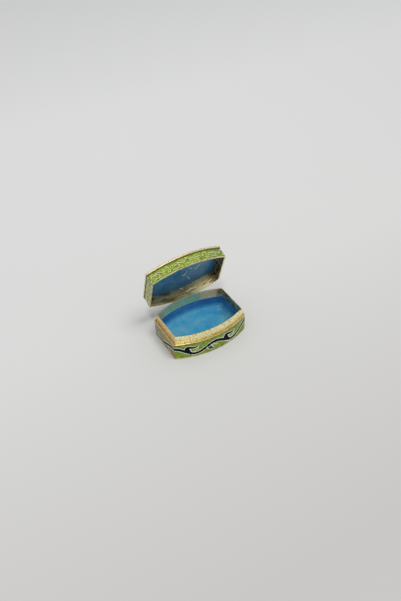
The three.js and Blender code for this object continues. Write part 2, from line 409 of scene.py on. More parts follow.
def enamel(name, deep, middle, light, size, roughness=0.12, pitting=0.02, gloss=0.5, painted_shading=None):
    """Fired glass enamel: colour in clouds of a size, under a glossy, faintly pitted surface. Painted_shading
    is (deep, middle, light, axis, start, end), painted light and shade: its colours hold before start on that
    axis, and have given way to the others at end."""
    pit_size = 0.7
    made, nodes, links = new_material(name)
    shader = nodes["Principled BSDF"]
    shader.inputs["IOR"].default_value = 1.5
    shader.inputs["Specular IOR Level"].default_value = gloss
    shader.inputs["Roughness"].default_value = roughness
    cloud = noise_at(nodes, links, size, detail=6, roughness=0.65, distortion=0.6)

    def clouded(shades):
        return ramp(nodes, links, cloud, list(zip((0.32, 0.5, 0.68), shades)))

    colour = clouded((deep, middle, light))
    if painted_shading:
        *shades, axis, start, end = painted_shading
        shaded_colour = clouded(shades)
        colour = mix(nodes, links, along(nodes, links, axis, start, end), shaded_colour, colour)
    links.new(colour, shader.inputs["Base Color"])
    bump(nodes, links, shader, noise_at(nodes, links, pit_size), pitting)
    return made


gilt = metal(
    "gilt_copper",
    bright=(0.95, 0.85, 0.5),
    dull=(0.84, 0.68, 0.32),
    tarnish=(0.46, 0.27, 0.08),
    size=1.8,
    specks=0.45,
    smooth=0.24,
    rough=0.42,
    relief=0.02,
    relief_size=0.5,
    film_by_place=[(0, 0.6, (0.42, 0.27, 0.07)), (0.026, 0.5, (0.42, 0.27, 0.07)), (0.03, 0, (0.5, 0.35, 0.1))],
)
lid_gilt = metal(
    "lid_gilt",
    bright=(0.97, 0.88, 0.54),
    dull=(0.8, 0.68, 0.38),
    tarnish=(0.26, 0.15, 0.07),
    size=2.2,
    specks=0.5,
    smooth=0.4,
    rough=0.58,
    relief=0.03,
    relief_size=0.5,
    metallic=0.7,
)
# Painted shade: dark metal for the groove beside the lid's moulding and for the lines under the glints in its
# back wall.
painted_recess_shade = metal(
    "painted_recess_shade",
    bright=(0.3, 0.25, 0.1),
    dull=(0.18, 0.14, 0.05),
    tarnish=(0.1, 0.07, 0.02),
    size=1.2,
    specks=0.4,
    smooth=0.5,
    rough=0.7,
    relief=0.03,
    relief_size=0.4,
    metallic=0.3,
)
lid_inside_gilt = metal(
    "lid_inside_gilt",
    bright=(0.98, 0.88, 0.46),
    dull=(0.66, 0.56, 0.26),
    size=2.2,
    smooth=0.18,
    rough=0.4,
    relief=0.13,
    relief_size=1.3,
    stretch=3,
    # Painted shade and painted reflection along the lid's back wall: near-black at the left, a bright tan
    # patch right of the middle, and dark again at the right end.
    film_by_place=[
        (0, 0.9, (0.075, 0.07, 0.03)),
        (0.38, 0.8, (0.11, 0.1, 0.04)),
        (0.58, 0.75, (0.24, 0.21, 0.09)),
        (0.74, 0.85, (0.85, 0.7, 0.31)),
        (0.86, 0.9, (0.95, 0.76, 0.34)),
        (0.93, 0.95, (0.24, 0.14, 0.05)),
        (0.97, 1, (0.06, 0.035, 0.008)),
    ],
)
# Tarnish and painted shade in the groove at the collar's foot: darker gilt with more tarnish specks.
groove_tarnish_and_shade = metal(
    "groove_tarnish_and_shade",
    bright=(0.93, 0.8, 0.52),
    dull=(0.8, 0.6, 0.32),
    tarnish=(0.5, 0.3, 0.12),
    size=1.6,
    specks=0.6,
    smooth=0.35,
    rough=0.6,
    relief=0.03,
    relief_size=0.4,
)
collar_brass = metal(
    "collar_brass",
    bright=(1, 0.96, 0.53),
    dull=(1, 0.9, 0.47),
    tarnish=(0.4, 0.22, 0.06),
    size=2.1,
    specks=0.46,
    smooth=0.28,
    rough=0.46,
    relief=0.05,
    relief_size=0.6,
    metallic=0.8,
    film_by_place=[
        (0, 1, (0.6, 0.35, 0.11)),
        (0.031, 0.9, (0.62, 0.38, 0.14)),
        (0.036, 0, (0.9, 0.7, 0.35)),
    ],
)
collar_inside_brass = metal(
    "collar_inside_brass",
    bright=(0.98, 0.83, 0.5),
    dull=(0.9, 0.68, 0.35),
    size=4,
    smooth=0.24,
    rough=0.4,
    relief=0.02,
    relief_size=0.8,
    # Darker at the left; a painted reflection, a tan patch on the back wall right of the middle; and painted
    # shade, near-black, in the right-hand corner.
    film_by_place=[
        (0, 0.5, (0.13, 0.13, 0.03)),
        (0.3, 0.12, (0.13, 0.13, 0.03)),
        (0.66, 0.08, (0.5, 0.4, 0.24)),
        (0.76, 0.75, (0.6, 0.46, 0.25)),
        (0.88, 0.8, (0.6, 0.42, 0.22)),
        (0.93, 1, (0.06, 0.04, 0.02)),
        (0.97, 0.8, (0.02, 0.04, 0.03)),
    ],
)
hinge_brass = metal(
    "hinge_brass",
    bright=(0.92, 0.76, 0.4),
    dull=(0.74, 0.54, 0.22),
    tarnish=(0.4, 0.24, 0.08),
    size=0.9,
    specks=0.4,
    smooth=0.22,
    rough=0.4,
    relief=0.02,
    relief_size=0.4,
)
wire_metal = metal(
    "wire_metal",
    bright=(1, 1, 0.84),
    dull=(0.98, 0.95, 0.7),
    size=1.4,
    smooth=0.2,
    rough=0.34,
    relief=0.01,
    relief_size=0.3,
    metallic=0.55,
)
lid_wire_metal = metal(
    "lid_wire_metal",
    bright=(1, 1, 0.55),
    dull=(0.84, 0.84, 0.34),
    size=3,
    smooth=0.24,
    rough=0.4,
    relief=0.01,
    relief_size=0.3,
    metallic=0.3,
)
# Painted glints: near-white, barely metallic gilt for the bright streaks on the lid's back wall.
painted_glint_gilt = metal(
    "painted_glint_gilt",
    bright=(1, 1, 0.86),
    dull=(1, 0.97, 0.74),
    size=1,
    smooth=0.24,
    rough=0.4,
    relief=0.01,
    relief_size=0.3,
    metallic=0.15,
)
green_enamel = enamel(
    "green_enamel",
    deep=(0.08, 0.12, 0.008),
    middle=(0.18, 0.26, 0.02),
    light=(0.25, 0.45, 0.06),
    size=1.8,
    gloss=0.25,
    # Painted shade: a browner, duller green over the left end face.
    painted_shading=((0.07, 0.06, 0.012), (0.2, 0.18, 0.03), (0.3, 0.29, 0.07), "X", -22.2, -21.6),
)
lime_enamel = enamel(
    "lime_enamel",
    deep=(0.035, 0.1, 0.005),
    middle=(0.23, 0.32, 0.026),
    light=(0.46, 0.52, 0.08),
    size=1.3,
    gloss=0.3,
    # Painted shade: a darker, browner green over the lid's right part, deepest at the right end.
    painted_shading=((0.02, 0.06, 0.004), (0.13, 0.2, 0.02), (0.3, 0.36, 0.07), "X", 22, 8),
)
# Painted reflection: pale blue-white marks under the lid.
painted_reflection_enamel = enamel(
    "painted_reflection_enamel",
    deep=(0.46, 0.62, 0.76),
    middle=(0.66, 0.8, 0.9),
    light=(0.92, 0.98, 1),
    size=1.2,
    roughness=0.3,
)
blue_enamel = enamel(
    "blue_enamel",
    deep=(0.03, 0.2, 0.46),
    middle=(0.04, 0.26, 0.54),
    light=(0.06, 0.32, 0.58),
    size=12,
    roughness=0.08,
    pitting=0.01,
)
blue_enamel_painted_floor_light = enamel(
    "blue_enamel_painted_floor_light",
    deep=(0.014, 0.1, 0.3),
    middle=(0.021, 0.135, 0.37),
    light=(0.034, 0.19, 0.42),
    size=9,
    roughness=0.07,
    pitting=0.015,
    # Painted light: a lighter, more cyan blue on the floor and the foot of the fillet, fading out up the
    # walls.
    painted_shading=((0.03, 0.23, 0.46), (0.05, 0.3, 0.5), (0.12, 0.35, 0.45), "Z", 2.0, 5.5),
)
dark_blue_enamel = enamel(
    "dark_blue_enamel",
    deep=(0.05, 0.2, 0.34),
    middle=(0.1, 0.29, 0.46),
    light=(0.18, 0.37, 0.46),
    size=7,
    roughness=0.14,
    pitting=0.02,
    gloss=0.2,
    # Painted shade: darker towards the ceiling's lower edge as the lid stands open, and lighter towards its
    # upper edge.
    painted_shading=((0.012, 0.11, 0.3), (0.022, 0.17, 0.4), (0.07, 0.24, 0.38), "Z", 19, 34),
)
# Painted shade: dark olive enamel for the lines along the lid's wires and round the rims.
painted_shade_enamel = enamel(
    "painted_shade_enamel",
    deep=(0.03, 0.06, 0.004),
    middle=(0.06, 0.1, 0.008),
    light=(0.1, 0.15, 0.015),
    size=1,
    gloss=0.3,
)
navy_enamel = enamel(
    "navy_enamel",
    deep=(0.001, 0.001, 0.006),
    middle=(0.003, 0.002, 0.014),
    light=(0.008, 0.005, 0.036),
    size=1.2,
    gloss=0.05,
)
teal_enamel = enamel(
    "teal_enamel",
    deep=(0.002, 0.03, 0.025),
    middle=(0.005, 0.06, 0.045),
    light=(0.01, 0.1, 0.07),
    size=1,
    gloss=0.2,
)


# The walls, unrolled


class Wall:
    """The outer face of the base or the lid as a strip. A place on it is s along the outline, from the middle
    of the front towards +X, and a height."""

    def __init__(self, taper, height):
        self.taper = taper
        self.height = height
        bow_steps = 600
        corner_steps = 24
        points = outline(0, bow_steps=bow_steps, corner_steps=corner_steps)
        points = np.roll(points, -bow_steps // 2, axis=0)
        steps = np.linalg.norm(np.roll(points, -1, axis=0) - points, axis=1)
        distances = np.concatenate([[0], np.cumsum(steps)])
        self.perimeter = distances[-1]
        looped = np.concatenate([points, points[:1]])
        ahead = np.roll(points, -1, axis=0) - np.roll(points, 1, axis=0)
        outwards = np.column_stack([ahead[:, 1], -ahead[:, 0]])
        outwards /= np.linalg.norm(outwards, axis=1)[:, None]
        looped_out = np.concatenate([outwards, outwards[:1]])
        self.table = (distances, looped, looped_out)
        corner = distances[bow_steps // 2 + corner_steps // 2]
        half = self.perimeter / 2
        self.corners = [corner, half - corner, half + corner, self.perimeter - corner]

    def at(self, s, height, depth):
        """Points at s and height, depth under the face."""
        distances, points, outwards = self.table
        s = np.mod(s, self.perimeter)
        xy = np.stack([np.interp(s, distances, points[:, k]) for k in range(2)], axis=-1)
        out = np.stack([np.interp(s, distances, outwards[:, k]) for k in range(2)], axis=-1)
        out /= np.linalg.norm(out, axis=-1)[..., None]
        inset = self.taper * (1 - height / self.height) + depth
        xy = xy - out * np.asarray(inset)[..., None]
        return np.concatenate([xy, np.broadcast_to(height, s.shape)[..., None]], axis=-1)


class Panel:
    """The crowned top of the lid as a flat sheet. A place on it is x and y."""

    edge = TOP_BORDER + BEDDING
    half_length = HALF_LENGTH - edge

    def half_width(self, x):
        """How far the panel reaches to each side of its middle at x."""
        return np.sqrt((BOW_RADIUS - self.edge) ** 2 - np.square(x)) - BOW_CENTRE

    def holds(self, w):
        """Whether a wire keeps clear of the panel's edge."""
        x, y = np.abs(w.path.T)
        if x.max() >= self.half_length - TOP_WIRE_MARGIN:
            return False
        return (y < self.half_width(x) - TOP_WIRE_MARGIN).all()

    def at(self, x, y, depth):
        """Points at x and y, depth under the face."""
        share = 1 - np.square(x / self.half_length)
        share = share * (1 - np.square(y / self.half_width(x)))
        z = LID_HEIGHT + TOP_CROWN * np.clip(share, 0, 1) - depth
        return np.stack([x, y, z], axis=-1)


def smooth_path(points, step=0.12):
    """A curve through points, sampled at even steps."""
    samples_a_span = 24
    points = np.array(points, float)
    first = 2 * points[0] - points[1]
    last = 2 * points[-1] - points[-2]
    padded = np.concatenate([[first], points, [last]])
    samples = []
    for a, b, c, d in zip(padded, padded[1:], padded[2:], padded[3:]):
        t = np.linspace(0, 1, samples_a_span, endpoint=False)[:, None]
        samples.append(
            0.5
            * (
                2 * b
                + (c - a) * t
                + (2 * a - 5 * b + 4 * c - d) * t**2
                + (3 * b - a - 3 * c + d) * t**3
            )
        )
    fine = np.concatenate([*samples, points[-1:]])
    distances = np.concatenate([[0], np.cumsum(np.linalg.norm(np.diff(fine, axis=0), axis=1))])
    length = distances[-1]
    even = np.linspace(0, length, max(int(length / step), 4) + 1)
    return np.stack([np.interp(even, distances, fine[:, k]) for k in range(2)], axis=1)


def sideways(path, closed):
    """Unit vectors to the left of a path."""
    if closed:
        ahead = np.roll(path, -1, axis=0) - np.roll(path, 1, axis=0)
        seam = ahead[:, 0] < -1  # where the path comes round to its start
        ahead[seam] = ahead[np.roll(seam, 2)]
    else:
        ahead = np.gradient(path, axis=0)
    left = np.column_stack([-ahead[:, 1], ahead[:, 0]])
    return left / np.linalg.norm(left, axis=1)[:, None]


class Strip:
    """A band of enamel or a wire on a wall: a path, its width along it, and whether it closes on itself."""

    def __init__(self, path, widths, closed=False):
        self.path = path
        self.widths = np.interp(
            np.linspace(0, 1, len(path)), np.linspace(0, 1, len(widths)), widths
        )
        self.closed = closed
        self.left = sideways(path, closed)

    def edge(self, side, beyond):
        """The path of the band's left edge for a side of 1, or its right edge for -1, moved out by beyond."""
        return self.path + self.left * side * (self.widths / 2 + beyond)[:, None]

    def holds(self, points, margin):
        """Which of the points lie in the band, or within a margin of it."""
        tree = KDTree(len(self.path))
        for i, p in enumerate(self.path):
            tree.insert((*p, 0), i)
        tree.balance()
        inside = []
        for p in points:
            _, i, distance = tree.find((*p, 0))
            inside.append(distance < self.widths[i] / 2 + margin)
        return np.array(inside)


def strips_object(name, surface, strips, crown, top, root):
    """One object of many strips: their tops crowned by crown and top under the face, their roots at root."""
    points = []
    faces = []
    across = np.array([-1, -1, -0.6, 0, 0.6, 1, 1], float)
    depths = top + crown * across**2
    depths[[0, -1]] = root
    for strip in strips:
        base = sum(len(block) for block in points)
        offsets = strip.widths[:, None] / 2 * across[None, :]
        spots = strip.path[:, None, :] + strip.left[:, None, :] * offsets[..., None]
        deep = np.broadcast_to(depths, offsets.shape)
        block = surface.at(spots[..., 0], spots[..., 1], deep).reshape(-1, 3)
        points.append(block)
        count = len(strip.path)
        ring = len(across)
        for i in range(count if strip.closed else count - 1):
            here = base + i * ring
            there = base + ((i + 1) % count) * ring
            for k in range(ring):
                after = (k + 1) % ring
                faces.append((here + k, here + after, there + after, there + k))
        if not strip.closed:
            last = base + (count - 1) * ring
            faces.append(tuple(base + k for k in range(ring)))
            faces.append(tuple(last + k for k in reversed(range(ring))))
    return make_object(name, np.concatenate(points), faces, smooth_angle=50)


def inlay(name, surface, bands, proud):
    """Bands of coloured enamel that stand proud of the field beside them."""
    return strips_object(name, surface, bands, INLAY_CROWN, WIRE_PROUD - proud, INLAY_ROOT)


def drawn_wires(name, surface, wires):
    """Wires with rounded tops, which reach the face."""
    return strips_object(name, surface, wires, WIRE_CROWN, 0.0, WIRE_ROOT)


def runs_outside(path, bands, margin, closed=False):
    """The stretches of a path that lie in none of the bands, each with whether it closes on itself."""
    shortest = 4  # points
    keep = np.ones(len(path), bool)
    for band in bands:
        keep &= ~band.holds(path, margin)
    if keep.all():
        return [(path, closed)]
    if closed:
        start = int(np.argmin(keep))
        path = np.roll(path, -start, axis=0)
        keep = np.roll(keep, -start)
    runs = []
    current = []
    for point, kept in zip(path, keep):
        if kept:
            current.append(point)
        elif current:
            runs.append(current)
            current = []
    if current:
        runs.append(current)
    return [(np.array(run), False) for run in runs if len(run) >= shortest]


def wire(path, width, closed=False):
    """A strip of one width."""
    return Strip(path, [width, width], closed)


def edged(bands, width):
    """The wires that edge bands of enamel, open where one band runs into another. An edge that folds over
    itself in a tight bend is left out there."""
    wires = []
    for band in bands:
        for side in (-1, 1):
            path = band.edge(side, width / 2)
            for run, closed in runs_outside(path, bands, width / 4, band.closed):
                wires.append(wire(run, width, closed))
    return wires


def wire_tree(wall, wires):
    """Where the wires run, for finding how far a place on the enamel is from them. Each wire is there three
    times, one turn of the wall apart."""
    spots = np.concatenate([w.path for w in wires])
    tree = KDTree(3 * len(spots))
    for i, p in enumerate(spots):
        for turn in (-1, 0, 1):
            tree.insert((p[0] + turn * wall.perimeter, p[1], 0), i)
    tree.balance()
    return tree


def sink(tree, s, h, low, high):
    """How far the enamel lies under the face: least beside a wire or rim, most in the middle of a cell. The
    base's wires are nearly as wide as the lid's, so one width serves for both."""
    sunk = np.empty(s.shape)
    for i in np.ndindex(s.shape):
        _, _, distance = tree.find((s[i], h[i], 0))
        distance = min(distance - LID_WIRE / 2, h[i] - low, high - h[i])
        t = min(max(distance / HOLLOW_REACH, 0), 1)
        sunk[i] = WIRE_PROUD + (HOLLOW - WIRE_PROUD) * t * (2 - t)
    return sunk


def around(wall, step):
    """Places all round a wall."""
    count = int(wall.perimeter / step)
    return np.arange(count) * wall.perimeter / count


def rim_line(wall, height, width):
    """A band all round a wall at one height."""
    s = around(wall, step=0.3)
    return wire(np.column_stack([s, np.full(len(s), height)]), width, closed=True)


def shifted(points, s, h=0):
    """Points moved along a wall and up it."""
    return [(x + s, y + h) for x, y in points]


def wall_enamel(name, wall, wires, low, high, thickness, grid=0.22):
    """The enamel of a wall, from height low to high, hollowed between the wires."""
    tree = wire_tree(wall, wires)
    s = around(wall, grid)
    rows = []
    for height in np.linspace(low, high, int((high - low) / grid) + 1):
        h = np.full(len(s), height)
        rows.append(wall.at(s, height, sink(tree, s, h, low, high)))
    for height in (high, low):
        rows.append(wall.at(s, height, np.full(len(s), thickness)))
    return skin(name, rows, closed=True, smooth_angle=50)


# The running vine on the base

# Height and width of its stem at a crest on a long side, at a corner, in a trough and in a trough on an end
STEM_HEIGHTS = (6.85, 7.6, 2.6, 1.9)
STEM_WIDTHS = (2.0, 1.8, 1.6, 1.5)
END_TROUGH_SHARE = 0.25  # of the way along an end


def troughs(wall):
    """The vine's troughs on the long sides, as places along the wall."""
    first, second, third, fourth = wall.corners
    half = wall.perimeter / 2
    return [first / 2, (second + half) / 2, (half + third) / 2, (fourth + wall.perimeter) / 2]


def along_vine(wall, s, crest, corner, trough, end_trough):
    """What a height or width of the stem is at s, by what it is where the stem turns."""
    first, second, third, fourth = wall.corners
    places = [(place, crest) for place in (0, wall.perimeter / 2, wall.perimeter)]
    places += [(place, corner) for place in wall.corners]
    places += [(place, trough) for place in troughs(wall)]
    places += [(a + (b - a) * END_TROUGH_SHARE, end_trough) for a, b in ((first, second), (third, fourth))]
    places.sort()
    values = np.empty(len(s))
    for (a, start), (b, end) in zip(places, places[1:]):
        here = (s >= a) & (s <= b)
        turn = (1 - np.cos(math.pi * (s[here] - a) / (b - a))) / 2
        values[here] = start + (end - start) * turn
    return values


def stem(wall):
    """The vine's stem, which runs all round the base."""
    s = around(wall, step=0.15)
    heights = along_vine(wall, s, *STEM_HEIGHTS)
    band = wire(np.column_stack([s, heights]), 1, closed=True)
    band.widths = along_vine(wall, s, *STEM_WIDTHS)
    return band


def curl(s):
    """The curl over a trough: it springs from the stem, turns over and trails off."""
    path = [(-2.6, 3.0), (-3.6, 4.2), (-4.4, 5.5), (-4.8, 6.7), (-4.3, 7.5), (-3.1, 7.45), (-1.5, 7.05)]
    path += [(0.2, 7.1), (1.2, 7.7)]
    return Strip(smooth_path(shifted(path, s)), [1.6, 2.4, 2.7, 2.6, 2.0, 1.5, 1.4, 1.2, 0.5])


def curl_hook(s):
    """The wire that sweeps from under a curl's head up to the rim."""
    path = [(-2.3, 6.1), (-2.8, 5.2), (-2.3, 4.35), (-1.3, 4.0), (-0.1, 4.4), (1.1, 5.8), (2.1, 8.0)]
    return wire(smooth_path(shifted(path, s)), BASE_WIRE)


def leaf(s):
    """The leaf that hangs under a crest."""
    path = [(-4.0, 5.3), (-3.8, 4.5), (-3.3, 3.6), (-2.5, 2.9), (-0.9, 2.5)]
    return Strip(smooth_path(shifted(path, s)), [2.1, 2.2, 2.2, 1.5, 0.3])


def leaf_hook(s):
    """The wire that bends over beside the leaf."""
    path = [(-1.9, 3.9), (-2.0, 4.6), (-1.5, 5.1), (-0.5, 5.0), (0.5, 4.3), (1.5, 4.0)]
    return wire(smooth_path(shifted(path, s)), BASE_WIRE)


def sheath(s):
    """The wire that leaves the stem past a crest and runs down to the foot."""
    path = [(6.2, 3.6), (7.1, 2.9), (8.1, 2.0), (9.1, 1.2), (10.2, 0.8)]
    return wire(smooth_path(shifted(path, s)), BASE_WIRE)


def end_branch(s):
    """The wire that leaves the stem on an end, before the crest at the corner."""
    path = [(-7.3, 4.3), (-7.7, 2.7), (-6.3, 1.7), (-4.4, 0.9)]
    return wire(smooth_path(shifted(path, s)), BASE_WIRE)


def build_base_wall():
    wall = Wall(BASE_TAPER, BASE_HEIGHT)
    half = wall.perimeter / 2
    main = stem(wall)
    curls = [curl(s) for s in troughs(wall)]
    leaves = [leaf(s) for s in (0, half)]
    hooks = [curl_hook(s) for s in troughs(wall)] + [leaf_hook(s) for s in (0, half)]
    hooks += [sheath(s) for s in (0, half)]
    hooks += [end_branch(s) for s in (wall.corners[1], wall.corners[3])]
    wires = edged([main, *curls, *leaves], BASE_WIRE) + hooks
    low = FOOT_RIM + BEDDING
    high = BASE_HEIGHT - TOP_RIM - BEDDING
    depth = SIDE_ENAMEL - BEDDING
    field = wall_enamel("base_green_enamel", wall, wires, low, high, depth)
    dress(field, "base", "green_enamel", green_enamel, "base_wall_enamel")
    # A line of painted shade round the base, under the ledge.
    rim = [rim_line(wall, high - BASE_RIM_DROP, BASE_RIM_LINE)]
    dress(inlay("base_rim_painted_shade", wall, rim, SHADE_LINE_PROUD), "base", "green_enamel", painted_shade_enamel)
    vine = [main, *curls]
    dress(inlay("base_vine_enamel", wall, vine, STEM_PROUD), "base", "green_enamel", navy_enamel)
    dress(inlay("base_leaf_enamel", wall, leaves, LEAF_PROUD), "base", "green_enamel", teal_enamel)
    dress(drawn_wires("base_wires", wall, wires), "base", "gilt_copper", wire_metal)


# The cloud scrolls on the lid

CLOUD_SPACING = 11.6  # along the wall, about
CLOUD_PLACE = (0.45, 3.3)  # share of a spacing, and height
COMMA_PLACES = ((0.93, 4.9, 1), (0.97, 1.9, -1))  # the same, and 1 or -1 for which way up it is
TOP_CLOUD_SPACING = 10.4  # along a row of the top
TOP_CLOUDS = 6
TOP_ROW_SPACING = 4.6
TOP_WIRE_MARGIN = 0.4  # least distance from a wire to the top's border


def cloud(s, h):
    """Three wires of a cloud scroll about a middle: a long back that hooks at both ends, a curl under it and
    a wisp below."""
    back = [(-3.0, -0.6), (-3.8, -0.3), (-4.0, 0.5), (-3.2, 1.0), (-2.3, 0.7), (-1.2, 1.3), (0, 1.4)]
    back += [(1.1, 0.9), (2.2, 0.2), (3.3, -0.2), (4.1, -0.1), (4.2, 0.5), (3.4, 0.9)]
    puff = [(-1.9, 0.1), (-1.0, 0.5), (0.1, 0.4), (0.9, -0.3), (0.6, -1.0), (-0.2, -0.9)]
    wisp = [(-3.4, -1.6), (-2.6, -1.8), (-1.4, -1.6), (-0.3, -1.8), (0.9, -1.6)]
    return [wire(smooth_path(shifted(points, s, h)), LID_WIRE) for points in (back, puff, wisp)]


def comma(s, h, turn):
    """A small curled wire that fills the field between the clouds."""
    points = [(-1.0, -0.4), (-0.5, 0.3), (0.3, 0.5), (0.8, 0), (0.4, -0.4), (0, -0.1)]
    return wire(smooth_path([(x * turn + s, y * turn + h) for x, y in points]), LID_WIRE)


def dress_lid_wires(name, surface, wires, rims):
    """The wires of a side of the lid, over lines of painted shade that run along them and along its rims."""
    lines = [wire(w.path, LID_WIRE + 2 * WIRE_SHADE_LINE) for w in wires] + rims
    dress(inlay(name + "_painted_shade", surface, lines, SHADE_LINE_PROUD), "lid", "lime_enamel", painted_shade_enamel)
    dress(drawn_wires(name + "_wires", surface, wires), "lid", "gilt_copper", lid_wire_metal)


def build_lid_wall():
    wall = Wall(0, LID_HEIGHT)
    count = round(wall.perimeter / CLOUD_SPACING)
    cloud_share, cloud_height = CLOUD_PLACE
    wires = []
    for i in range(count):
        wires += cloud((i + cloud_share) * wall.perimeter / count, cloud_height)
        for share, height, turn in COMMA_PLACES:
            wires.append(comma((i + share) * wall.perimeter / count, height, turn))
    low = LID_RIM + BEDDING
    high = LID_HEIGHT - MOULDING_HEIGHT - MOULDING_GROOVE
    depth = LID_SIDE_ENAMEL - BEDDING
    field = wall_enamel("lid_green_enamel", wall, wires, low, high, depth)
    dress(field, "lid", "lime_enamel", lime_enamel, "lid_wall_enamel")
    dress_lid_wires("lid_wall", wall, wires, [rim_line(wall, high - LID_RIM_DROP, LID_RIM_LINE)])


def build_lid_top():
    panel = Panel()
    rows = [row(panel.edge, LID_HEIGHT - TOP_ENAMEL + BEDDING)]
    rings = 60
    hair = 0.001  # keeps the outermost ring on the crown
    for ring in range(rings, 0, -1):
        flat = outline(panel.edge + hair) * ring / rings
        rows.append(panel.at(flat[:, 0], flat[:, 1], WIRE_PROUD))
    peak = LID_HEIGHT + TOP_CROWN - WIRE_PROUD
    field = skin("lid_top_field", rows, peak=peak, smooth_angle=50)
    dress(field, "lid", "lime_enamel", lime_enamel, "lid_top_enamel")
    wires = []
    for line in range(-2, 3):
        shift = TOP_CLOUD_SPACING / 2 if line % 2 else 0
        for column in np.arange(TOP_CLOUDS) - (TOP_CLOUDS - 1) / 2:
            wires += cloud(column * TOP_CLOUD_SPACING + shift, line * TOP_ROW_SPACING)
    inside = [w for w in wires if panel.holds(w)]
    dress_lid_wires("lid_top", panel, inside, [])


# Painted reflections, glints and shade inside the lid


class Ceiling:
    """The flat enamel under the lid's top. A place on it is x and y."""

    def at(self, x, y, depth):
        """Points at x and y, depth up into the enamel."""
        face = LID_HEIGHT - TOP_ENAMEL - TOP_PLATE - CEILING_ENAMEL
        return np.stack([x, y, face + depth], axis=-1)


def build_wear():
    """Painted reflections under the lid, drawn as scratches in its enamel, and painted glints on its back
    wall, with a line of painted shade under each.
    """
    reflection_paths = [
        [(0.6, 1.4), (1.2, 3.6), (2.4, 3.3), (2.4, 1.6), (3.3, 0.7), (2.8, -1.0)],
        [(4.0, 5.2), (5.6, 8.6), (6.7, 11.0)],
        [(4.2, -1.8), (5.8, -1.3), (6.7, 0.3)],
        [(7.8, -0.5), (9.0, 1.3), (9.9, 0), (11.5, -2.6)],
    ]
    lines = [Strip(smooth_path(points), [0.1, 0.42, 0.3, 0.1]) for points in reflection_paths]
    reflection_marks = strips_object("lid_ceiling_painted_reflections", Ceiling(), lines, crown=0.01, top=-0.015, root=0.1)
    dress(reflection_marks, "lid", "dark_blue_enamel", painted_reflection_enamel)
    wall = Wall(0, LID_HEIGHT)
    behind = wall.perimeter / 2
    glint_paths = [
        [(0.4, 6.2), (1.5, 5.5), (2.1, 4.2)],
        [(2.6, 3.1), (3.7, 2.6), (5.3, 3.0), (6.8, 3.3), (7.9, 2.7), (9.7, 2.7)],
        [(13.2, 2.7), (14.6, 2.8), (15.8, 3.3)],
        [(16.8, 1.7), (18.3, 2.1), (19.9, 2.7)],
    ]
    proud = 0.03
    # Painted glints on the wall, each with a line of painted shade under it.
    streaks = [("lid_inside_glints", 0, 0.6, painted_glint_gilt), ("lid_inside_painted_shade", -0.65, 0.8, painted_recess_shade)]
    for name, drop, width, finish in streaks:
        lines = [
            Strip(smooth_path([(behind - x, h + drop) for x, h in points]), [0.15, width, width, 0.15])
            for points in glint_paths
        ]
        piece = strips_object(name, wall, lines, crown=-0.02, top=LID_INSET + proud, root=LID_INSET - 0.1)
        dress(piece, "lid", "gilt_copper", finish)


# Metal and plain enamel


def lean(z):
    """How far the base's wall has come in at a height, from its place at the top."""
    return BASE_TAPER * (1 - z / BASE_HEIGHT)


def build_base_metal():
    enamel_top = BASE_HEIGHT - TOP_RIM
    groove = BASE_HEIGHT - GROOVE_DEPTH
    wall_inside = SIDE_ENAMEL + BASE_WALL
    inner_bottom = BOTTOM_ENAMEL + BOTTOM_PLATE
    profile = [
        (BOTTOM_BORDER, BOTTOM_ENAMEL),
        (BOTTOM_BORDER, 0),
        (lean(0) + FOOT_CHAMFER, 0),
        (lean(FOOT_CHAMFER), FOOT_CHAMFER),
        (lean(FOOT_RIM), FOOT_RIM),
        (lean(FOOT_RIM) + SIDE_ENAMEL, FOOT_RIM),
        (lean(enamel_top) + SIDE_ENAMEL, enamel_top),
        (lean(enamel_top), enamel_top),
        (0, BASE_HEIGHT),
        (wall_inside - GROOVE_WIDTH - GROOVE_DEPTH, BASE_HEIGHT),
        (wall_inside - GROOVE_WIDTH, groove),
        (wall_inside, groove),
        (wall_inside, inner_bottom),
    ]
    tray = sweep("base_tray", rounded(profile, RIM_ROUNDING))

    # Tarnish and painted shade on the groove's floor.
    def in_groove(middle, normal):
        return groove - 0.02 < middle.z < groove + 0.7 * GROOVE_DEPTH and normal.z > 0.5

    dress(tray, "base", "gilt_copper", gilt, "base_body", also=[(groove_tarnish_and_shade, in_groove)])


def build_liner():
    outside = SIDE_ENAMEL + BASE_WALL + BEDDING
    inside = outside + LINER_WALL
    top = BASE_HEIGHT - COLLAR_SEAT - BEDDING
    bottom = BOTTOM_ENAMEL + BOTTOM_PLATE
    floor = bottom + LINER_FLOOR
    left = math.pi
    down = 1.5 * math.pi
    fillet = arc(inside + LINER_FILLET, floor + LINER_FILLET, LINER_FILLET, left, down, FILLET_STEPS)
    corners = np.linspace(LINER_CORNER, LINER_FLOOR_CORNER, len(fillet))
    profile = [(outside, bottom + BEDDING), (outside, top), (inside, top, LINER_CORNER)]
    profile += [(*point, corner) for point, corner in zip(fillet, corners)]
    liner = sweep("base_blue_enamel", profile)
    dress(liner, "base", "blue_enamel", blue_enamel_painted_floor_light, "base_inner_enamel")


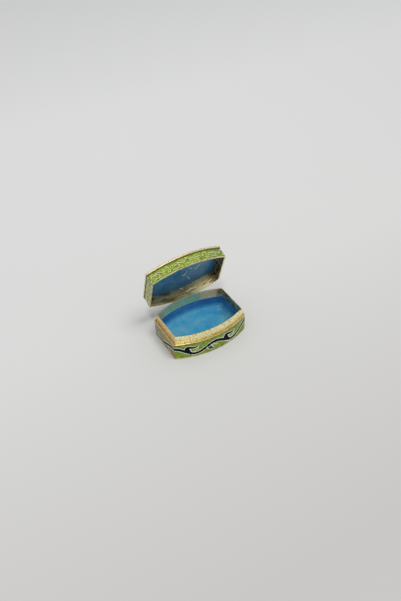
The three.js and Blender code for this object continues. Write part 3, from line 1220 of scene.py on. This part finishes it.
def build_collar():
    top = BASE_HEIGHT + COLLAR_HEIGHT
    foot = BASE_HEIGHT - COLLAR_SEAT
    top_inset = COLLAR_INSET + COLLAR_LEAN
    profile = [
        (COLLAR_INSET, foot),
        (COLLAR_INSET, BASE_HEIGHT),
        (top_inset, top),
        (top_inset + COLLAR_THICKNESS, top),
        (COLLAR_INSET + COLLAR_THICKNESS, BASE_HEIGHT),
        (COLLAR_INSET + COLLAR_THICKNESS, foot),
    ]
    eased = rounded(profile, COLLAR_ROUNDING)
    fine = [eased[0]]
    for before, after in zip(eased, eased[1:]):
        count = max(round(math.dist(before, after) / COLLAR_GRID), 1)
        for t in np.linspace(0, 1, count + 1)[1:]:
            fine.append(tuple(np.array(before) * (1 - t) + np.array(after) * t))
    collar = sweep("collar", fine, closed=True)
    for vertex in collar.data.vertices:
        dent = noise.noise(vertex.co / (HAMMER_SIZE * MM))
        dent += HAMMER_FINE_SHARE * noise.noise(vertex.co / (HAMMER_FINE_SIZE * MM))
        vertex.co += vertex.normal * dent * HAMMER_DEPTH * MM
    inside = [(collar_inside_brass, faces_inwards)]
    dress(collar, "base", "collar_brass", collar_brass, "base_collar", also=inside)


def build_lid_metal():
    inside_top = LID_HEIGHT - TOP_ENAMEL - TOP_PLATE
    enamel_top = LID_HEIGHT - MOULDING_HEIGHT
    quarter = np.linspace(0, math.pi / 2, MOULDING_STEPS + 1)
    half = MOULDING_HEIGHT / 2
    moulding = [
        (half - (half + MOULDING_PROUD) * math.cos(turn), enamel_top + half + half * math.sin(turn))
        for turn in quarter
    ]
    profile = [
        (LID_INSET, inside_top),
        (LID_INSET, SEAT_GAP),
        (0, SEAT_GAP),
        (0, LID_RIM),
        (LID_SIDE_ENAMEL, LID_RIM),
        (LID_SIDE_ENAMEL, enamel_top),
        (-MOULDING_PROUD / 2, enamel_top),
        *moulding,
        (TOP_BORDER, LID_HEIGHT),
        (TOP_BORDER, LID_HEIGHT - TOP_ENAMEL),
    ]
    lid = sweep("lid_shell", rounded(profile, RIM_ROUNDING))

    def on_inside(middle, normal):
        return faces_inwards(middle, normal) and middle.z < inside_top

    # Painted shade in the open groove between the wall's enamel and the moulding.
    def in_recess(middle, normal):
        return LID_RIM + 0.05 < middle.z < enamel_top + 0.02 and not faces_inwards(middle, normal)

    finishes = [(painted_recess_shade, in_recess), (lid_inside_gilt, on_inside)]
    dress(lid, "lid", "gilt_copper", lid_gilt, "lid_body", also=finishes)


def refinish_nodes():
    """The enamel under the lid and under the base, and the hinge, whose solids have the right shape."""
    refinish("lid_ceiling_enamel", dark_blue_enamel)
    refinish("base_underside_enamel", blue_enamel)
    for name in ("hinge_base_leaf", "hinge_lid_leaf", "hinge_pin"):
        refinish(name, hinge_brass)


# Camera, light and floor

CAMERA_AZIMUTH = -28.0785
CAMERA_ELEVATION = 41.1959
CAMERA_ROLL = -3.071
CAMERA_PLACE = (-117.74, -222.75, 243.89)
FOCAL_PIXELS = 622.227
PHOTO_HEIGHT_PIXELS = 601
SENSOR = 36
FLOOR_REACH = 6.0  # metres each way


def build_camera():
    data = bpy.data.cameras.new("camera")
    data.sensor_width = SENSOR
    data.lens = FOCAL_PIXELS * SENSOR / PHOTO_HEIGHT_PIXELS
    data.clip_start = 0.01
    data.clip_end = 20
    camera = bpy.data.objects.new("camera", data)
    bpy.context.scene.collection.objects.link(camera)
    azimuth = math.radians(CAMERA_AZIMUTH)
    elevation = math.radians(CAMERA_ELEVATION)
    turned = (
        Matrix.Rotation(azimuth, 4, "Z")
        @ Matrix.Rotation(math.pi / 2 - elevation, 4, "X")
        @ Matrix.Rotation(math.radians(CAMERA_ROLL), 4, "Z")
    )
    camera.matrix_world = Matrix.Translation(Vector(CAMERA_PLACE) * MM) @ turned
    bpy.context.scene.camera = camera


def build_floor():
    """A pale sheet with painted shade and light: a little darker towards the camera, and running out into
    white far from the box, where the lamps' light has fallen off.
    """
    mesh = bpy.data.meshes.new("floor")
    corners = [(x * FLOOR_REACH, y * FLOOR_REACH, 0) for x, y in ((-1, -1), (1, -1), (1, 1), (-1, 1))]
    mesh.from_pydata(corners, [], [(0, 1, 2, 3)])
    floor = bpy.data.objects.new("floor", mesh)
    bpy.context.scene.collection.objects.link(floor)
    paper, nodes, links = new_material("pale_floor")
    shader = nodes["Principled BSDF"]
    # Painted shade towards the camera, and painted light further back.
    greyed = [(0, (0.5, 0.49, 0.48)), (0.38, (0.64, 0.64, 0.635)), (1, (0.74, 0.74, 0.74))]
    near = ramp(nodes, links, along(nodes, links, "Y", -140, 300), greyed)
    # Painted light: the sheet runs out into white far from the box, where the lamps' light has fallen off.
    place = nodes.new("ShaderNodeTexCoord")
    reach = nodes.new("ShaderNodeVectorMath")
    reach.operation = "LENGTH"
    links.new(place.outputs["Object"], reach.inputs[0])
    distance = greys(nodes, links, reach.outputs["Value"], 0, 1, start=0.4, end=2.4)
    far = ramp(nodes, links, distance, [(0, (0.8, 0.8, 0.8)), (1, (0.98, 0.98, 0.98))])
    links.new(mix(nodes, links, distance, near, far), shader.inputs["Base Color"])
    shader.inputs["Roughness"].default_value = 0.7
    mesh.materials.append(paper)


def area_light(name, place, size, watts, colour, gleams=True):
    """A round light turned towards the box. It shows in what reflects it only where it gleams."""
    data = bpy.data.lights.new(name, "AREA")
    data.shape = "DISK"
    data.size = size
    data.energy = watts
    data.color = colour
    light = bpy.data.objects.new(name, data)
    light.location = place
    light.visible_glossy = gleams
    light.rotation_euler = (-Vector(place)).to_track_quat("-Z", "Y").to_euler()
    bpy.context.scene.collection.objects.link(light)


def build_light():
    world = bpy.data.worlds.new("room")
    world.use_nodes = True
    background = world.node_tree.nodes["Background"]
    background.inputs["Color"].default_value = (0.98, 0.99, 1, 1)
    background.inputs["Strength"].default_value = 0.56
    bpy.context.scene.world = world
    area_light(
        "overhead",
        place=(0.25, -0.42, 1.2),
        size=0.55,
        watts=6.9,
        colour=(1, 0.99, 0.97),
        gleams=False,
    )
    area_light("gleam", place=(-0.27, -0.5, 1.15), size=0.2, watts=3.6, colour=(1, 1, 1))
    bpy.context.scene.view_settings.view_transform = "Standard"


def main():
    build_camera()
    build_light()
    build_floor()
    build_base_metal()
    build_base_wall()
    build_liner()
    build_collar()
    build_lid_metal()
    build_lid_wall()
    build_lid_top()
    build_wear()
    refinish_nodes()


main()
